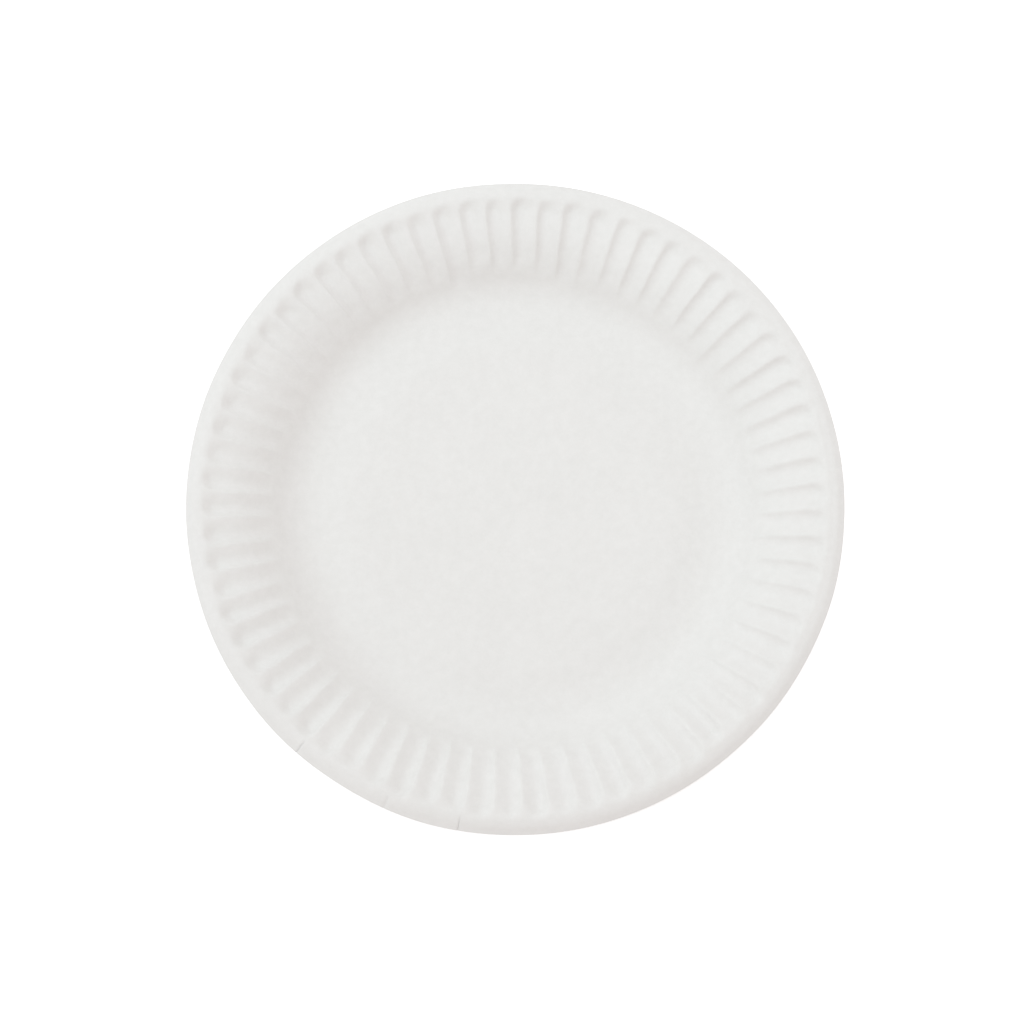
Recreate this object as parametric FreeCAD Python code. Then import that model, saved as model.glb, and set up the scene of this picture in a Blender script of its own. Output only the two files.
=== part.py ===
import FreeCAD
import Part
import math
import os

# Paper plate, 18 cm: one disc of white card pressed between two dies into a
# shallow dish with a fluted rim. All sizes are in millimetres and degrees.
# Z is the axis of the plate, the plate stands on Z = 0 and its eating side is up.
# The card is followed from the centre outward. A point below the section lies
# that far under the eating side, square to the card.

# Card
plate_diameter = 180.0
card = 0.35

# Floor: a level centre panel that stands a little above the ring it rests on
panel_rise = 0.7
step_width = 11.0
rest_ring = 2.0

# Wall and rim
corner_radius = 11.7
wall_angle = 50.0
wall_run = 3.9
rim_curve = 23.0
rim_angle = 16.0
rim_run = 5.2

# Lip: the rim turns over its crest and down to the cut edge
lip_radius = 4.3
lip_angle = 42.0
lip_run = 2.05

# Flutes: grooves pressed into the rim, from the top of the wall to the crest.
# Each has a gentle flank, a floor and a steep flank, with a fold for a ridge
# between it and the next. The first ridge is that far round from the X axis. The
# flanks are shares of the pitch, which widens outward, and the depths are those at
# one and two thirds of the way out.
flute_count = 70
first_ridge = 3.68
flute_depth_inner = 0.95
flute_depth_outer = 1.15
gentle_flank = 0.36
steep_flank = 0.24

# A bend is drawn in flats that turn by no more than this.
flat_turn = 15.0

AXIS_POINT = FreeCAD.Vector(0, 0, 0)
UP = FreeCAD.Vector(0, 0, 1)
pitch = 360.0 / flute_count
whole_flat = (0.0, 1.0)
fluted_flat = (0.0, gentle_flank, 1.0 - steep_flank, 1.0)


def follow(start, curvature, distance):
    """Radius, height and slope reached from start along a run or a bend."""
    radius, height, angle = start
    slope = math.radians(angle)
    if curvature == 0.0:
        return radius + distance * math.cos(slope), height + distance * math.sin(slope), angle
    reached = slope + curvature * distance
    return (
        radius + (math.sin(reached) - math.sin(slope)) / curvature,
        height - (math.cos(reached) - math.cos(slope)) / curvature,
        math.degrees(reached),
    )


class Section:
    """The eating side cut through the axis, as runs and tangent bends.

    The folds are the distances along it at which one flat meets the next.
    """

    def __init__(self, height):
        self.pieces = []
        self.folds = [0.0]
        self.tip = (0.0, height, 0.0)

    def extend(self, length, curvature, flats):
        begin = self.folds[-1]
        self.pieces.append((begin, self.tip, curvature))
        for i in range(flats):
            self.folds.append(begin + length * (i + 1) / flats)
        self.tip = follow(self.tip, curvature, length)

    def run(self, length):
        self.extend(length, 0.0, 1)

    def bend(self, radius, to_angle):
        turn = to_angle - self.tip[2]
        flats = math.ceil(abs(turn) / flat_turn)
        self.extend(radius * math.radians(abs(turn)), math.copysign(1 / radius, turn), flats)

    def point(self, distance, below=0.0):
        for begin, start, curvature in reversed(self.pieces):
            if distance >= begin:
                break
        radius, height, angle = follow(start, curvature, distance - begin)
        slope = math.radians(angle)
        return FreeCAD.Vector(radius + below * math.sin(slope), 0, height - below * math.cos(slope))


class Plate:
    """The section of the whole plate, with the distances where its parts begin."""

    def __init__(self, panel_radius):
        step_angle = 2 * math.degrees(math.atan(panel_rise / step_width))
        step_radius = step_width / 2 / math.sin(math.radians(step_angle))
        section = Section(card + panel_rise)
        section.run(panel_radius)
        self.panel_end = section.folds[-1]
        section.bend(step_radius, -step_angle)
        section.bend(step_radius, 0.0)
        self.ring_begin = section.folds[-1]
        section.run(rest_ring)
        self.ring_end = section.folds[-1]
        section.bend(corner_radius, wall_angle)
        section.run(wall_run)
        self.flute_begin = section.folds[-1]
        section.bend(rim_curve, rim_angle)
        section.run(rim_run)
        section.bend(lip_radius, 0.0)
        self.flute_end = section.folds[-1]
        section.bend(lip_radius, -lip_angle)
        section.run(lip_run)
        self.edge = section.folds[-1]
        self.section = section


def fit_plate():
    """The panel takes what the rest leaves of the plate's radius."""
    trial_radius = 1.0
    rest = Plate(trial_radius).section.tip[0] - trial_radius
    return Plate(plate_diameter / 2 - rest)


def turned(point, angle):
    return FreeCAD.Rotation(UP, angle).multVec(point)


def ridge_angle(i):
    return first_ridge + pitch * i


def across(point, share):
    """A point on the straight line from one ridge to the next."""
    return point + (turned(point, pitch) - point) * share


def ring_outline(point):
    corners = [turned(point, ridge_angle(i)) for i in range(flute_count + 1)]
    return Part.makePolygon(corners)


def level_floor(plate, below):
    """The panel and the resting ring on one side of the card."""
    section = plate.section
    panel = Part.Face(ring_outline(section.point(plate.panel_end, below)))
    outer = ring_outline(section.point(plate.ring_end, below))
    inner = ring_outline(section.point(plate.ring_begin, below))
    return [panel, Part.Face(outer).cut(Part.Face(inner)).Faces[0]]


def flat(inner, outer, inner_shares=whole_flat, outer_shares=whole_flat):
    """The flat between two folds, one pitch wide, with a corner at each share."""
    corners = [across(inner, share) for share in inner_shares]
    corners += [across(outer, share) for share in reversed(outer_shares)]
    return Part.Face(Part.makePolygon(corners + corners[:1]))


def plain_flats(plate, below):
    """One pitch of the step, the corner, the wall and the lip."""
    section = plate.section
    fluted = range(section.folds.index(plate.flute_begin), section.folds.index(plate.flute_end))
    made = []
    for i in range(section.folds.index(plate.panel_end), len(section.folds) - 1):
        begin = section.folds[i]
        end = section.folds[i + 1]
        if i in fluted or begin == plate.ring_begin:
            continue
        inner_shares = fluted_flat if begin == plate.flute_end else whole_flat
        outer_shares = fluted_flat if end == plate.flute_begin else whole_flat
        inner = section.point(begin, below)
        outer = section.point(end, below)
        made.append(flat(inner, outer, inner_shares, outer_shares))
    return made


def flute_line(plate, share, depths, below):
    """A curve that runs out along a flute, through a depth at each third."""
    length = plate.flute_end - plate.flute_begin
    points = []
    for i, depth in enumerate(depths):
        distance = plate.flute_begin + length * i / (len(depths) - 1)
        points.append(across(plate.section.point(distance, depth + below), share))
    curve = Part.BSplineCurve()
    curve.interpolate(points)
    return curve.toShape()


def flute(plate, below):
    """Gentle flank, floor and steep flank, ruled between the lines along them."""
    ridge = (0.0, 0.0, 0.0, 0.0)
    groove = (0.0, flute_depth_inner, flute_depth_outer, 0.0)
    lines = []
    for share, depths in zip(fluted_flat, (ridge, groove, groove, ridge)):
        lines.append(flute_line(plate, share, depths, below))
    return [Part.makeRuledSurface(a, b) for a, b in zip(lines, lines[1:])]


def cut_edge(plate):
    return flat(plate.section.point(plate.edge), plate.section.point(plate.edge, card))


def make_plate():
    plate = fit_plate()
    one_pitch = [cut_edge(plate)]
    faces = []
    for below in (0.0, card):
        one_pitch += plain_flats(plate, below) + flute(plate, below)
        faces += level_floor(plate, below)
    for i in range(flute_count):
        for face in one_pitch:
            faces.append(face.rotated(AXIS_POINT, UP, ridge_angle(i)))
    skin = Part.Compound(faces)
    skin.sewShape()
    solid = Part.makeSolid(skin.Shells[0])
    if solid.Volume < 0:
        solid.reverse()
    return solid


os.makedirs("parts", exist_ok=True)
plate_solid = make_plate()
plate_solid.exportStep("parts/plate.step")
print("plate: valid", plate_solid.isValid(), "volume", round(plate_solid.Volume, 1))
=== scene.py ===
import bpy
import math
import numpy as np
from mathutils import Matrix, Vector


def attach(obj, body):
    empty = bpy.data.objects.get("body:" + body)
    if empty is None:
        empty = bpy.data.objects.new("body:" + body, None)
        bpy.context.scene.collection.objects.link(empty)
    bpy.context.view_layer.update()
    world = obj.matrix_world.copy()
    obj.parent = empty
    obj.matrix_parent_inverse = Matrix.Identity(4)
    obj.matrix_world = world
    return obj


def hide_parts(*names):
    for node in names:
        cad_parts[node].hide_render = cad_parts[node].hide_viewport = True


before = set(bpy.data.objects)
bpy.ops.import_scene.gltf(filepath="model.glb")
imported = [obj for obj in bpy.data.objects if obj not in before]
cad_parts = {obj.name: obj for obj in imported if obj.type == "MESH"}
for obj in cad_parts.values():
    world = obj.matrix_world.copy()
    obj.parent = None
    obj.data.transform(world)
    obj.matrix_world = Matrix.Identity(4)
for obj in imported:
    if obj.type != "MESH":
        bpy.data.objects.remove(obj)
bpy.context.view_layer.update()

# A white paper plate. Lengths are in metres and angles in degrees. The plate's axis
# is Z and it stands on Z = 0. Azimuths turn anticlockwise from +X, seen from above.
MM = 0.001

# Section of the card, followed outward over the eating side
plate_radius = 90.0 * MM
card = 0.35 * MM
panel_rise = 1.0 * MM
step_width = 11.0 * MM
rest_ring = 2.0 * MM
corner_radius = 11.7 * MM
wall_angle = 50.0
wall_run = 3.9 * MM
rim_curve = 23.0 * MM
rim_angle = 16.0
rim_run = 5.2 * MM
lip_radius = 4.3 * MM
lip_angle = 42.0
lip_run = 2.05 * MM

# Flutes. Going round anticlockwise, each groove falls gently from its ridge, rounds
# its foot and rises steeply to the next ridge. Widths are shares of the pitch. A ridge
# turns by such a share from end to end, and begins to a little below the flutes.
flute_count = 70
pitch = 360.0 / flute_count
first_ridge = 3.68
steepest = 0.83
foot_width = 0.46
foot_power = 1.3
ridge_width = 0.21
flute_depth_inner = 0.74 * MM
flute_depth_outer = 1.60 * MM
outward_turn = 0.11
turn_begin = -0.3

# A groove deepens down the wall, and ends below the lip in a hooked end that is
# longer on the gentle side.
flute_lead_in = 3.6 * MM
flute_fade_inner = 6.4 * MM
flute_past_end = 0.6 * MM
flute_fade_outer = 4.3 * MM
gentle_fade_more = 2.6 * MM
hook_turn = 0.09
hook_length = 3.0 * MM

# How much one flute differs from the next. A ridge wobbles sideways in two waves that
# go through so many radians from its inner to its outer end.
flute_seed = 70
depth_spread = 0.08
ridge_spread = 0.018
long_wobble = 0.010
long_wobble_radians = 11
short_wobble = 0.005
short_wobble_radians = 25
start_spread = 0.6 * MM
end_spread = 0.35 * MM
long_flutes = (34.6, 75.0, 101.0)
long_lead_in = 4.0 * MM
deep_flutes = (203.6, 224.6)
deeper = 1.25

# How far the pressed card is from a true disc. The outline's lobes are given as how
# many go round, the azimuth of one of them and their height. The outline's ripple and
# the warp of the rim are seeded.
edge_more = 0.10 * MM
outline_lobes = (
    (1, 257.0, 0.14 * MM),
    (2, 58.0, 0.10 * MM),
    (3, 21.0, 0.10 * MM),
    (4, 41.0, 0.05 * MM),
    (5, 46.0, 0.06 * MM),
)
ripple_orders = range(6, 19)
outline_ripple = 0.10 * MM
ripple_seed = 5
warp_orders = (2, 3, 4, 5)
rim_warp = 0.20 * MM
warp_seed = 11

# The lip turns down earlier on the near side and stays flatter on the right. A bend is
# the drop for each metre beyond its beginning, which is at a distance from the crest.
near_side = 282.0
near_narrowness = 8
near_bend = 0.23
near_bend_begin = -2.5 * MM
right_side = 15.0
right_narrowness = 4
right_bend = -0.34
right_bend_begin = 1.0 * MM

# Creases across the lip, as azimuth and depth. They deepen over the fade, outward from
# the crest, and reach this much azimuth to each side.
crease_fade = 1.5 * MM
crease_flank = 0.15
lip_creases = (
    (5.9, 0.06 * MM),
    (18.9, 0.06 * MM),
    (75.0, 0.05 * MM),
    (229.1, 0.30 * MM),
    (246.8, 0.14 * MM),
    (260.0, 0.28 * MM),
)

# The mesh has this many columns of points a pitch, crowded where it turns sharpest.
# It is coarser on an inner share of the floor and of the corner, and its rows are
# close where the flutes end.
columns_per_pitch = 16
column_crowding = 0.6
coarse_share = 0.6
close_rows = 5.0 * MM

# How finely the section, a bend and the groove are added up
section_points = 6001
bend_points = 201
groove_points = 2001

# Surface of the card. Fibres, felt and clouds are noise with so many waves a metre.
# They add up to a tone, which runs from the darker to the lighter white.
fibre_scale = 1500.0
felt_scale = 420.0
cloud_scale = 45.0
base_tone = 0.36
cloud_tone = 0.20
felt_tone = 0.45
fibre_tone = 0.3
darker_tone = 0.55
darker_white = (0.784, 0.780, 0.764, 1)
lighter_tone = 1.0
lighter_white = (0.849, 0.846, 0.833, 1)
card_roughness = 0.80
felt_roughness = 0.12
card_specular = 0.25
felt_bump = 0.9
bump_strength = 0.35
bump_height = 0.045 * MM

# Table. It is lit as the plate is, and where it is seen it also glows by the lift, so
# that it clips to white beyond the plate's shadow.
table_white = (0.95, 0.95, 0.95, 1)
table_lift = 0.45
table_reach = 3.0

# Light. A level of 1 is what makes a level surface render as its own colour. The sky
# is a little warm and the lamps a little cool, and together they are white.
sky_level = 0.763
sky_tint = (1.045, 0.982, 0.965)
lamp_tint = (0.855, 1.055, 1.105)
full_white = (1, 1, 1, 1)

# Camera. It looks down on the plate from a little toward the viewer's side. The
# plate's place in the picture is in pixels, from the picture's middle.
camera_tilt = 8.525
camera_turn = -6.69
camera_distance = 6.4 * plate_radius
picture_side = 1024
plate_radius_in_picture = 329.09
rim_centre_in_picture = (3.87, 10.74)
sensor = 36.0

random = np.random.default_rng(flute_seed)


def smooth_step(share):
    share = np.clip(share, 0.0, 1.0)
    return share * share * (3 - 2 * share)


def bend_length(radius, turn):
    return radius * math.radians(turn)


def breadth(stretches):
    """How far out the stretches reach together, the first beginning level."""
    total = 0.0
    slope = 0.0
    for length, end_slope in stretches:
        slopes = np.linspace(slope, end_slope, bend_points)
        total += length * np.cos(np.radians(slopes)).mean()
        slope = end_slope
    return total


class Section:
    """Slope, radius and height of the eating side at a distance from the axis."""

    def __init__(self):
        step_angle = 2 * math.degrees(math.atan(panel_rise / step_width))
        step_radius = step_width / 2 / math.sin(math.radians(step_angle))
        stretches = [
            (bend_length(step_radius, step_angle), -step_angle),
            (bend_length(step_radius, step_angle), 0.0),
            (rest_ring, 0.0),
            (bend_length(corner_radius, wall_angle), wall_angle),
            (wall_run, wall_angle),
            (bend_length(rim_curve, wall_angle - rim_angle), rim_angle),
            (rim_run, rim_angle),
            (bend_length(lip_radius, rim_angle), 0.0),
            (bend_length(lip_radius, lip_angle), -lip_angle),
            (lip_run, -lip_angle),
        ]
        panel_radius = plate_radius - breadth(stretches)
        runs = [0.0, panel_radius]
        slopes = [0.0, 0.0]
        for length, slope in stretches:
            runs.append(runs[-1] + length)
            slopes.append(slope)
        self.marks = runs[1:]
        self.runs = np.linspace(0.0, runs[-1], section_points)
        self.slopes = np.radians(np.interp(self.runs, runs, slopes))
        middle = (self.slopes[1:] + self.slopes[:-1]) / 2
        step = self.runs[1]
        self.radii = np.concatenate([[0.0], np.cumsum(np.cos(middle) * step)])
        self.heights = np.concatenate([[0.0], np.cumsum(np.sin(middle) * step)])
        self.heights += card + panel_rise

    def at(self, run):
        return (
            np.interp(run, self.runs, self.radii),
            np.interp(run, self.runs, self.heights),
            np.interp(run, self.runs, self.slopes),
        )


section = Section()
panel_end, _, ring_begin, ring_end, wall_begin, flute_begin, _, _, flute_end, _, edge_run = section.marks
corner_foot = section.at(ring_end)[0]


def groove_shape():
    """Depth across one pitch, from 0 on the ridge to 1, by adding up the slopes."""
    share = np.linspace(0.0, 1.0, groove_points)
    past = (share - steepest + 0.5) % 1.0 - 0.5
    foot = np.clip(1 + past / foot_width, 0.0, 1.0) ** foot_power
    ridge = np.cos(math.pi / 2 * np.clip(past / ridge_width, 0.0, 1.0)) ** 2
    slope = np.where(past < 0, foot, ridge)
    height = np.cumsum(slope - slope[:-1].mean())
    depth = height.max() - height
    return share, depth / depth.max()


class Flutes:
    """The ridges and grooves of the rim, each a little different from the next."""

    def __init__(self):
        self.depth = 1 + depth_spread * random.standard_normal(flute_count)
        self.start = start_spread * random.standard_normal(flute_count)
        self.end = end_spread * random.standard_normal(flute_count)
        self.offset = ridge_spread * random.standard_normal(flute_count)
        self.turn = outward_turn + ridge_spread * random.standard_normal(flute_count)
        self.phase = random.uniform(0.0, 2 * math.pi, (2, flute_count))
        for azimuth in long_flutes:
            self.start[self.nearest(azimuth)] -= long_lead_in
        for azimuth in deep_flutes:
            self.depth[self.nearest(azimuth)] *= deeper
        even = np.arange(columns_per_pitch) / columns_per_pitch
        crowd = column_crowding / (2 * math.pi)
        self.shares = even - crowd * np.sin(2 * math.pi * (even - steepest))
        self.groove = groove_shape()

    def nearest(self, azimuth):
        return round((azimuth - first_ridge) / pitch) % flute_count

    def along(self, run):
        """0 where the flutes begin and 1 where they end."""
        return (run - flute_begin) / (flute_end - flute_begin)

    def azimuths(self, run):
        """The azimuth of every column of points, in radians."""
        along = min(max(self.along(run), turn_begin), 1.0)
        ridge = np.arange(flute_count) + self.offset + self.turn * (along - 0.5)
        ridge += long_wobble * np.sin(long_wobble_radians * along + self.phase[0])
        ridge += short_wobble * np.sin(short_wobble_radians * along + self.phase[1])
        following = np.roll(ridge, -1)
        following[-1] += flute_count
        turns = ridge[:, None] + (following - ridge)[:, None] * self.shares
        return np.radians(first_ridge + pitch * turns.ravel())

    def depths(self, run):
        """How deep the groove is at every column of points."""
        full = flute_depth_inner + (flute_depth_outer - flute_depth_inner) * self.along(run)
        begun = run - (flute_begin - flute_lead_in + self.start)
        full = full * self.depth * smooth_step(begun / flute_fade_inner)
        hook = hook_turn * smooth_step((run - flute_end + hook_length) / hook_length)
        groove = np.interp((self.shares + hook) % 1.0, *self.groove)
        left = flute_end + flute_past_end + self.end[:, None] - run
        ended = smooth_step(left / (flute_fade_outer + gentle_fade_more * (1 - groove)))
        return (full[:, None] * ended * groove).ravel()


flutes = Flutes()


def waver(azimuth, orders, amplitude, seed):
    """A smooth closed curve of small height round the plate."""
    draw = np.random.default_rng(seed)
    total = np.zeros_like(azimuth)
    for order in orders:
        height = draw.standard_normal()
        total += height * np.cos(order * azimuth + draw.uniform(0, 2 * math.pi))
    return amplitude * total / math.sqrt(len(orders))


def lobes(azimuth):
    """How far the cut edge stands out of a true circle, in a few broad lobes."""
    total = np.full_like(azimuth, edge_more)
    for count, side, height in outline_lobes:
        total += height * np.cos(count * (azimuth - math.radians(side)))
    return total


def toward(azimuth, side, narrowness):
    """1 on one side of the plate, falling to 0 on the other."""
    return np.cos((azimuth - math.radians(side)) / 2) ** narrowness


def lip_drop(azimuth, beyond):
    """How much lower than the section the lip is, at a distance beyond its crest."""
    near = toward(azimuth, near_side, near_narrowness)
    right = toward(azimuth, right_side, right_narrowness)
    near_drop = near_bend * (near * max(beyond - near_bend_begin, 0.0))
    right_drop = right_bend * (right * max(beyond - right_bend_begin, 0.0))
    return near_drop + right_drop


def lip_folds(azimuth, beyond):
    """Moves the three nearest columns to each crease, and gives the creases' depth."""
    moved = azimuth.copy()
    depth = np.zeros_like(azimuth)
    share = smooth_step(beyond / crease_fade)
    for crease, crease_depth in lip_creases:
        apart = (azimuth - math.radians(crease) + math.pi) % (2 * math.pi) - math.pi
        nearest = np.abs(apart).argmin()
        for side in (-1, 0, 1):
            column = (nearest + side) % len(azimuth)
            moved[column] += share * (side * math.radians(crease_flank) - apart[column])
        depth[nearest] = share * crease_depth
    return moved, depth


def upper_ring(run):
    """The points of the eating side at a distance along the section."""
    radius, height, slope = section.at(run)
    azimuth, depth = lip_folds(flutes.azimuths(run), run - flute_end)
    depth += flutes.depths(run)
    outward = smooth_step((radius - corner_foot) / (plate_radius - corner_foot))
    out = radius + depth * math.sin(slope)
    out += outward**2 * lobes(azimuth)
    out += outward**2 * waver(azimuth, ripple_orders, outline_ripple, ripple_seed)
    up = height - depth * math.cos(slope) - lip_drop(azimuth, run - flute_end)
    up += outward * waver(azimuth, warp_orders, rim_warp, warp_seed)
    return np.stack([out * np.cos(azimuth), out * np.sin(azimuth), up], 1)


def lower_ring(run):
    """The points of the underside, the card's thickness from the eating side."""
    nudge = 0.02 * MM
    here = upper_ring(run)
    along = upper_ring(min(run + nudge, edge_run)) - upper_ring(max(run - nudge, 0.0))
    across = np.roll(here, -1, 0) - np.roll(here, 1, 0)
    normal = np.cross(along, across)
    normal /= np.linalg.norm(normal, axis=1)[:, None]
    return here - card * normal


class MeshMaker:
    """Collects rings of points and joins each to the one before."""

    def __init__(self):
        self.points = []
        self.faces = []
        self.count = 0

    def add(self, points):
        self.points.append(points)
        self.count += len(points)
        return list(range(self.count - len(points), self.count))

    def face(self, corners, flip):
        self.faces.append(corners[::-1] if flip else corners)

    def close(self, ring, centre, flip):
        for i, corner in enumerate(ring):
            self.face([centre, corner, ring[(i + 1) % len(ring)]], flip)

    def join(self, inner, outer, flip):
        """Faces between two rings, one with a whole number of times more points."""
        if len(inner) > len(outer):
            self.join(outer, inner, not flip)
            return
        many = len(outer) // len(inner)
        half = many // 2
        for i, a in enumerate(inner):
            b = inner[(i + 1) % len(inner)]
            fan = [outer[(many * i + j) % len(outer)] for j in range(many + 1)]
            if many == 1:
                self.face([a, *fan, b], flip)
                continue
            for j in range(many):
                self.face([a if j < half else b, fan[j], fan[j + 1]], flip)
            self.face([a, fan[half], b], flip)

    def data(self, name):
        data = bpy.data.meshes.new(name)
        data.from_pydata(np.concatenate(self.points).tolist(), [], self.faces)
        data.shade_smooth()
        return data


def card_side(mesh, ring_points, height, stretches, flip):
    """One side of the card from the centre to the edge. Returns its last ring."""
    centre = mesh.add(np.array([[0.0, 0.0, height]]))[0]
    last = None
    for begin, end, rows, every in stretches:
        for i in range(rows):
            run = begin + (end - begin) * (i + 1) / rows
            ring = mesh.add(ring_points(run)[::every])
            if last is None:
                mesh.close(ring, centre, flip)
            else:
                mesh.join(last, ring, flip)
            last = ring
    return last


def mark_cut_edge(data, *rings):
    """The cut edge meets both sides of the card in a sharp corner."""
    rings = [set(ring) for ring in rings]
    for edge in data.edges:
        a, b = edge.vertices
        edge.use_edge_sharp = any(a in ring and b in ring for ring in rings)


def plate_object():
    """The pressed card. Each stretch has its rows and takes every so many columns."""
    floor_middle = coarse_share * panel_end
    corner_middle = ring_end + coarse_share * (wall_begin - ring_end)
    flute_ends = flute_end - close_rows
    upper_stretches = (
        (0.0, floor_middle, 4, 16),
        (floor_middle, panel_end, 3, 8),
        (panel_end, ring_begin, 10, 4),
        (ring_begin, corner_middle, 8, 2),
        (corner_middle, flute_begin, 8, 1),
        (flute_begin, flute_ends, 20, 1),
        (flute_ends, flute_end, 14, 1),
        (flute_end, edge_run, 12, 1),
    )
    lower_stretches = (
        (0.0, floor_middle, 4, 16),
        (floor_middle, panel_end, 3, 8),
        (panel_end, ring_begin, 6, 4),
        (ring_begin, corner_middle, 5, 2),
        (corner_middle, flute_begin, 4, 2),
        (flute_begin, flute_ends, 10, 2),
        (flute_ends, flute_end, 8, 2),
        (flute_end, edge_run, 6, 1),
    )
    mesh = MeshMaker()
    upper_edge = card_side(mesh, upper_ring, panel_rise + card, upper_stretches, False)
    lower_edge = card_side(mesh, lower_ring, panel_rise, lower_stretches, True)
    mesh.join(lower_edge, upper_edge, True)
    data = mesh.data("pressed_plate")
    mark_cut_edge(data, upper_edge, lower_edge)
    data.materials.append(card_material())
    return placed("pressed_plate", data)


def placed(name, data):
    piece = bpy.data.objects.new(name, data)
    bpy.context.scene.collection.objects.link(piece)
    return piece


class Nodes:
    """A short way to write the nodes of a material or of the world."""

    def __init__(self, owner):
        owner.use_nodes = True
        self.tree = owner.node_tree
        self.tree.nodes.clear()

    def add(self, kind, **settings):
        node = self.tree.nodes.new(kind)
        for name, value in settings.items():
            setattr(node, name, value)
        return node

    def link(self, source, target):
        self.tree.links.new(source, target)

    def math(self, operation, *values):
        node = self.add("ShaderNodeMath", operation=operation)
        for socket, value in zip(node.inputs, values):
            if isinstance(value, (int, float)):
                socket.default_value = value
            else:
                self.link(value, socket)
        return node.outputs[0]

    def noise(self, place, scale, detail, roughness=0.5, distortion=0.0):
        node = self.add("ShaderNodeTexNoise")
        node.inputs["Scale"].default_value = scale
        node.inputs["Detail"].default_value = detail
        node.inputs["Roughness"].default_value = roughness
        node.inputs["Distortion"].default_value = distortion
        self.link(place, node.inputs["Vector"])
        return node.outputs["Fac"]

    def seen(self):
        """1 for rays that see a surface straight, in gloss or through glass."""
        path = self.add("ShaderNodeLightPath").outputs
        seen = self.math("MAXIMUM", path["Is Camera Ray"], path["Is Glossy Ray"])
        return self.math("MAXIMUM", seen, path["Is Transmission Ray"])


def card_material():
    """White pressed card: matte, faintly mottled, with a fine felt of fibres."""
    material = bpy.data.materials.new("white_card")
    nodes = Nodes(material)
    output = nodes.add("ShaderNodeOutputMaterial")
    shader = nodes.add("ShaderNodeBsdfPrincipled")
    nodes.link(shader.outputs[0], output.inputs["Surface"])
    place = nodes.add("ShaderNodeTexCoord").outputs["Object"]

    fibre = nodes.noise(place, fibre_scale, detail=4.0, roughness=0.6, distortion=0.8)
    felt = nodes.noise(place, felt_scale, detail=3.0, roughness=0.55)
    cloud = nodes.noise(place, cloud_scale, detail=3.0)

    tone = nodes.math("MULTIPLY_ADD", cloud, cloud_tone, base_tone)
    tone = nodes.math("MULTIPLY_ADD", felt, felt_tone, tone)
    tone = nodes.math("MULTIPLY_ADD", fibre, fibre_tone, tone)
    ramp = nodes.add("ShaderNodeValToRGB")
    darker, lighter = ramp.color_ramp.elements
    darker.position = darker_tone
    darker.color = darker_white
    lighter.position = lighter_tone
    lighter.color = lighter_white
    nodes.link(tone, ramp.inputs[0])
    nodes.link(ramp.outputs["Color"], shader.inputs["Base Color"])

    roughness = nodes.math("MULTIPLY_ADD", felt, felt_roughness, card_roughness)
    nodes.link(roughness, shader.inputs["Roughness"])
    shader.inputs["Specular IOR Level"].default_value = card_specular

    bump = nodes.add("ShaderNodeBump")
    bump.inputs["Strength"].default_value = bump_strength
    bump.inputs["Distance"].default_value = bump_height
    relief = nodes.math("MULTIPLY_ADD", felt, felt_bump, fibre)
    nodes.link(relief, bump.inputs["Height"])
    nodes.link(bump.outputs[0], shader.inputs["Normal"])
    return material


def floor_material():
    """White table that keeps the plate's shadow and clips to white away from it."""
    material = bpy.data.materials.new("white_table")
    nodes = Nodes(material)
    output = nodes.add("ShaderNodeOutputMaterial")
    matte = nodes.add("ShaderNodeBsdfDiffuse")
    matte.inputs["Color"].default_value = table_white
    glow = nodes.add("ShaderNodeEmission")
    glow.inputs["Color"].default_value = full_white
    lift = nodes.math("MULTIPLY", nodes.seen(), table_lift)
    nodes.link(lift, glow.inputs["Strength"])
    both = nodes.add("ShaderNodeAddShader")
    nodes.link(matte.outputs[0], both.inputs[0])
    nodes.link(glow.outputs[0], both.inputs[1])
    nodes.link(both.outputs[0], output.inputs["Surface"])
    return material


def floor_object():
    far = table_reach
    corners = [(-far, -far, 0), (far, -far, 0), (far, far, 0), (-far, far, 0)]
    data = bpy.data.meshes.new("floor")
    data.from_pydata(corners, [], [(0, 1, 2, 3)])
    data.materials.append(floor_material())
    return placed("floor", data)


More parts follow.
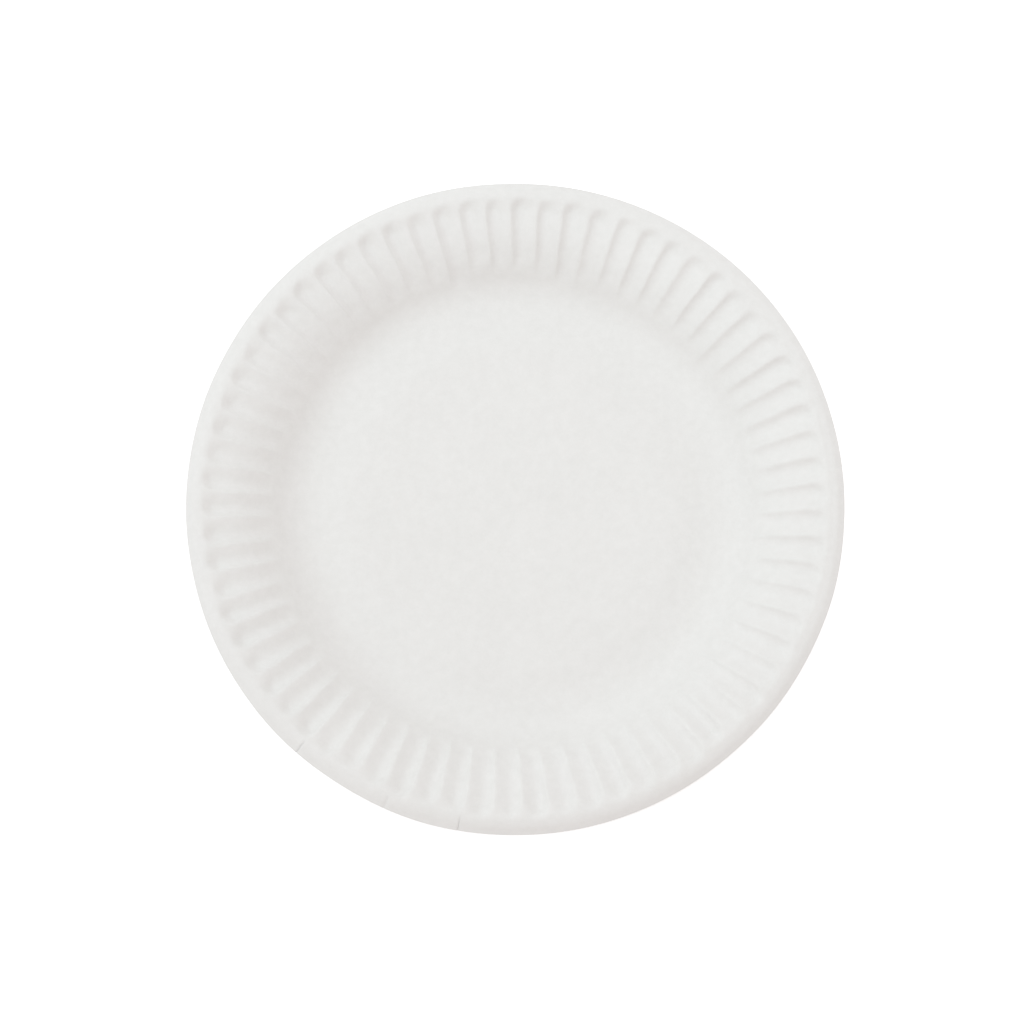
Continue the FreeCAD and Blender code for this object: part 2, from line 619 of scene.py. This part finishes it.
def world_light():
    """An even sky that is seen as white."""
    world = bpy.data.worlds.new("studio")
    bpy.context.scene.world = world
    nodes = Nodes(world)
    output = nodes.add("ShaderNodeOutputWorld")
    sky = nodes.add("ShaderNodeBackground")
    sky.inputs["Color"].default_value = (*sky_tint, 1)
    sky.inputs["Strength"].default_value = sky_level
    white = nodes.add("ShaderNodeBackground")
    white.inputs["Color"].default_value = full_white
    white.inputs["Strength"].default_value = 1.0
    mix = nodes.add("ShaderNodeMixShader")
    nodes.link(nodes.seen(), mix.inputs["Fac"])
    nodes.link(sky.outputs[0], mix.inputs[1])
    nodes.link(white.outputs[0], mix.inputs[2])
    nodes.link(mix.outputs[0], output.inputs["Surface"])


def lamp(name, azimuth, elevation, distance, size, level):
    """A square soft box aimed at the plate, giving the level on a face turned to it."""
    light = bpy.data.lights.new(name, "AREA")
    light.shape = "SQUARE"
    light.size = size
    light.energy = level * math.pi**2 * distance**2
    light.color = lamp_tint
    a = math.radians(azimuth)
    e = math.radians(elevation)
    back = Vector((math.cos(a) * math.cos(e), math.sin(a) * math.cos(e), math.sin(e)))
    piece = placed(name, light)
    piece.location = back * distance
    piece.rotation_euler = back.to_track_quat("Z", "Y").to_euler()


def camera_axes():
    """Right, up and back, where back points from the plate to the camera."""
    tilt = math.radians(camera_tilt)
    turn = math.radians(camera_turn)
    across = Vector((math.cos(turn), math.sin(turn), 0))
    level_up = Vector((-math.sin(turn), math.cos(turn), 0))
    along = level_up * math.cos(tilt) + Vector((0, 0, math.sin(tilt)))
    right = across * math.cos(turn) - along * math.sin(turn)
    up = across * math.sin(turn) + along * math.cos(turn)
    return right, up, right.cross(up)


def camera():
    """Sees the plate at the place and the size that the camera's values give."""
    right, up, back = camera_axes()
    rim_centre = Vector((0, 0, section.at(edge_run)[1]))
    aside, above = rim_centre_in_picture
    offset = (right * aside + up * above) * plate_radius / plate_radius_in_picture
    data = bpy.data.cameras.new("camera")
    data.sensor_width = sensor
    data.lens = sensor * plate_radius_in_picture * camera_distance / plate_radius / picture_side
    data.clip_start = 0.01
    piece = placed("camera", data)
    place = rim_centre + back * camera_distance - offset
    axes = Matrix((right, up, back)).transposed().to_4x4()
    piece.matrix_world = Matrix.Translation(place) @ axes
    bpy.context.scene.camera = piece


plate = plate_object()
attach(plate, "root")
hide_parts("plate")
floor_object()
world_light()
lamp("left", azimuth=190, elevation=40, distance=5.0, size=2.0, level=0.136)
lamp("back_left", azimuth=145, elevation=52, distance=0.7, size=0.35, level=0.075)
lamp("back_right", azimuth=55, elevation=52, distance=0.7, size=0.35, level=0.118)
camera()
bpy.context.scene.view_settings.view_transform = "Standard"
